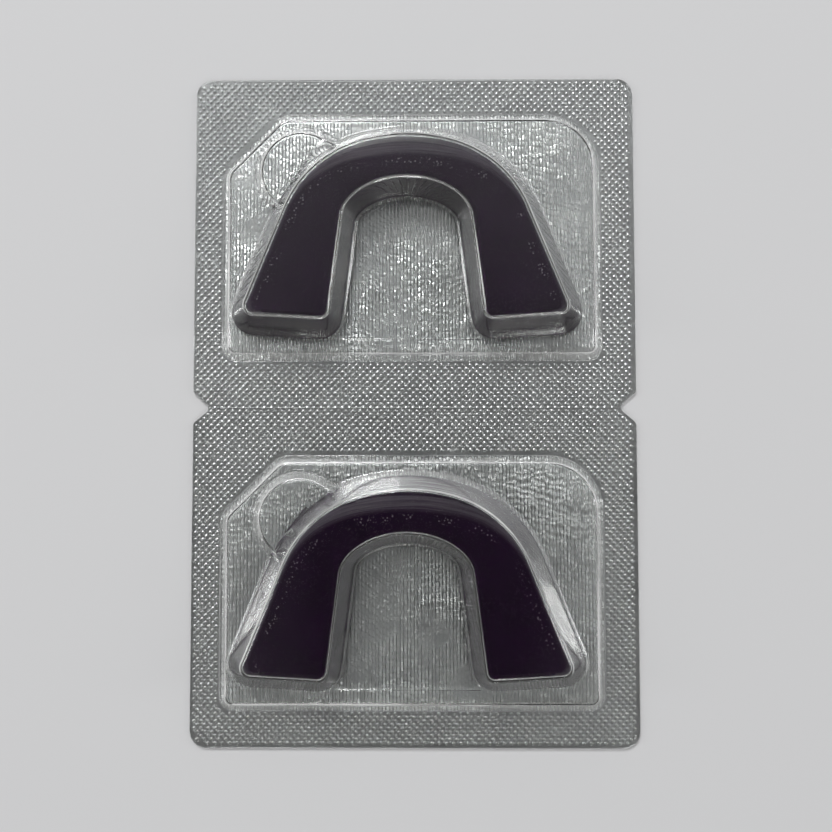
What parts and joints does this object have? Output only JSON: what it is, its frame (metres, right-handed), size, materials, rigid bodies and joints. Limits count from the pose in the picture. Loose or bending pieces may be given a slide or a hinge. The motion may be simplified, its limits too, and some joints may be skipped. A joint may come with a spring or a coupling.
{
  "type": "blister-packed mouthguards",
  "caption": "Flat clear thermoformed blister card with silver peelable lidding foil and a notched tear line, holding U-shaped dark mouthguards in raised pockets.",
  "frame": {"origin": "centre of the card on the tear line, on the underside of the foil", "axes": "+X to the right of the card, +Y along the card from the lower pocket to the upper one, +Z out of the foil towards the raised pockets"},
  "size_m": [0.088, 0.133, 0.0094],
  "materials": {
    "clear_film": "clear glossy PVC film",
    "silver_foil": "satin foil with an embossed seal grid",
    "dark_purple_rubber": "smooth satin moulded elastomer"
  },
  "bodies": {
    "upper_pack": {"upper_film": "clear_film"},
    "lower_pack": {"lower_film": "clear_film"},
    "upper_lid": {"upper_foil": "silver_foil"},
    "lower_lid": {"lower_foil": "silver_foil"},
    "upper_guard": {"upper_mouthguard": "dark_purple_rubber"},
    "lower_guard": {"lower_mouthguard": "dark_purple_rubber"}
  },
  "joints": [
    {"name": "tear_line_fold", "type": "hinge", "parent": "upper_pack", "child": "lower_pack", "pos_m": [0, 0, 0.00062], "axis": [-1, 0, 0], "range_deg": [0, 110]},
    {"name": "upper_foil_peel", "type": "hinge", "parent": "upper_pack", "child": "upper_lid", "pos_m": [0.044, 0.033, 0.00021], "axis": [0, -1, 0], "range_deg": [0, 150]},
    {"name": "lower_foil_peel", "type": "hinge", "parent": "lower_pack", "child": "lower_lid", "pos_m": [0.044, -0.033, 0.00021], "axis": [0, -1, 0], "range_deg": [0, 150]},
    {"name": "upper_guard_slide", "type": "slide", "parent": "upper_pack", "child": "upper_guard", "axis": [0, 0, -1], "range_m": [0, 0.025]},
    {"name": "lower_guard_slide", "type": "slide", "parent": "lower_pack", "child": "lower_guard", "axis": [0, 0, -1], "range_m": [0, 0.025]}
  ],
  "couplings": [
    {"joint": "upper_guard_slide", "follows": "upper_foil_peel", "m_per_rad": 0.0095},
    {"joint": "lower_guard_slide", "follows": "lower_foil_peel", "m_per_rad": 0.0095}
  ]
}
